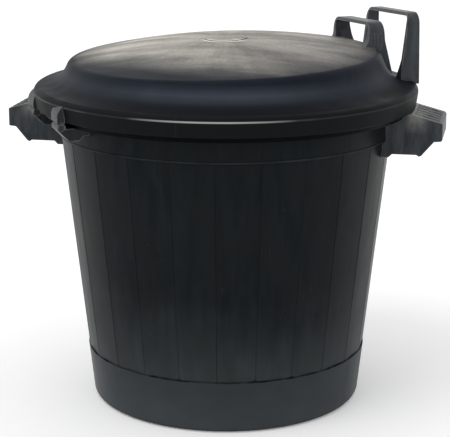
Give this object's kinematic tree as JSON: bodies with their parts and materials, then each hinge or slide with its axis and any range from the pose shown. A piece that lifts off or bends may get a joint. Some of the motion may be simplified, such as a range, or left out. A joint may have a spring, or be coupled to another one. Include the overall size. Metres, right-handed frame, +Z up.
{
  "type": "trash can with lid",
  "caption": "Round plastic trash can with a tapered stave-sided tub, hooded side grips and a domed lid that swings open on pinned hinge knuckles opposite its lifting loops.",
  "frame": {"origin": "centre of the tub's foot ring, on the floor", "axes": "Z is up along the tub's axis, X runs through both side grips with the right-hand grip at +X, and the viewer of the picture stands towards -Y"},
  "size_m": [0.574, 0.5032, 0.5112],
  "materials": {
    "tub_plastic": "satin black moulded plastic, lightly scuffed",
    "grip_plastic": "satin black moulded plastic",
    "hinge_plastic": "satin black moulded plastic",
    "lid_plastic": "satin blue-black moulded plastic with flow streaks",
    "loop_plastic": "satin dark slate moulded plastic",
    "cap_plastic": "satin black moulded plastic",
    "pin_steel": "dark oxide-coated steel",
    "screw_steel": "dull zinc-plated steel"
  },
  "bodies": {
    "bin": {"tub": "tub_plastic", "left_grip": "grip_plastic", "right_grip": "grip_plastic", "front_hinge_bracket": "hinge_plastic", "rear_hinge_bracket": "hinge_plastic", "front_hinge_pin": "pin_steel", "rear_hinge_pin": "pin_steel", "pin_caps": "cap_plastic", "tub_screws": "screw_steel"},
    "lid": {"lid": "lid_plastic", "front_hinge_clip": "hinge_plastic", "rear_hinge_clip": "hinge_plastic", "inner_loop": "loop_plastic", "outer_loop": "loop_plastic", "lid_screws": "screw_steel"}
  },
  "joints": [
    {"name": "lid_hinge", "type": "hinge", "parent": "bin", "child": "lid", "pos_m": [-0.20625, -0.13038, 0.3899], "axis": [0.5343, -0.8453, 0], "range_deg": [0, 105]}
  ]
}
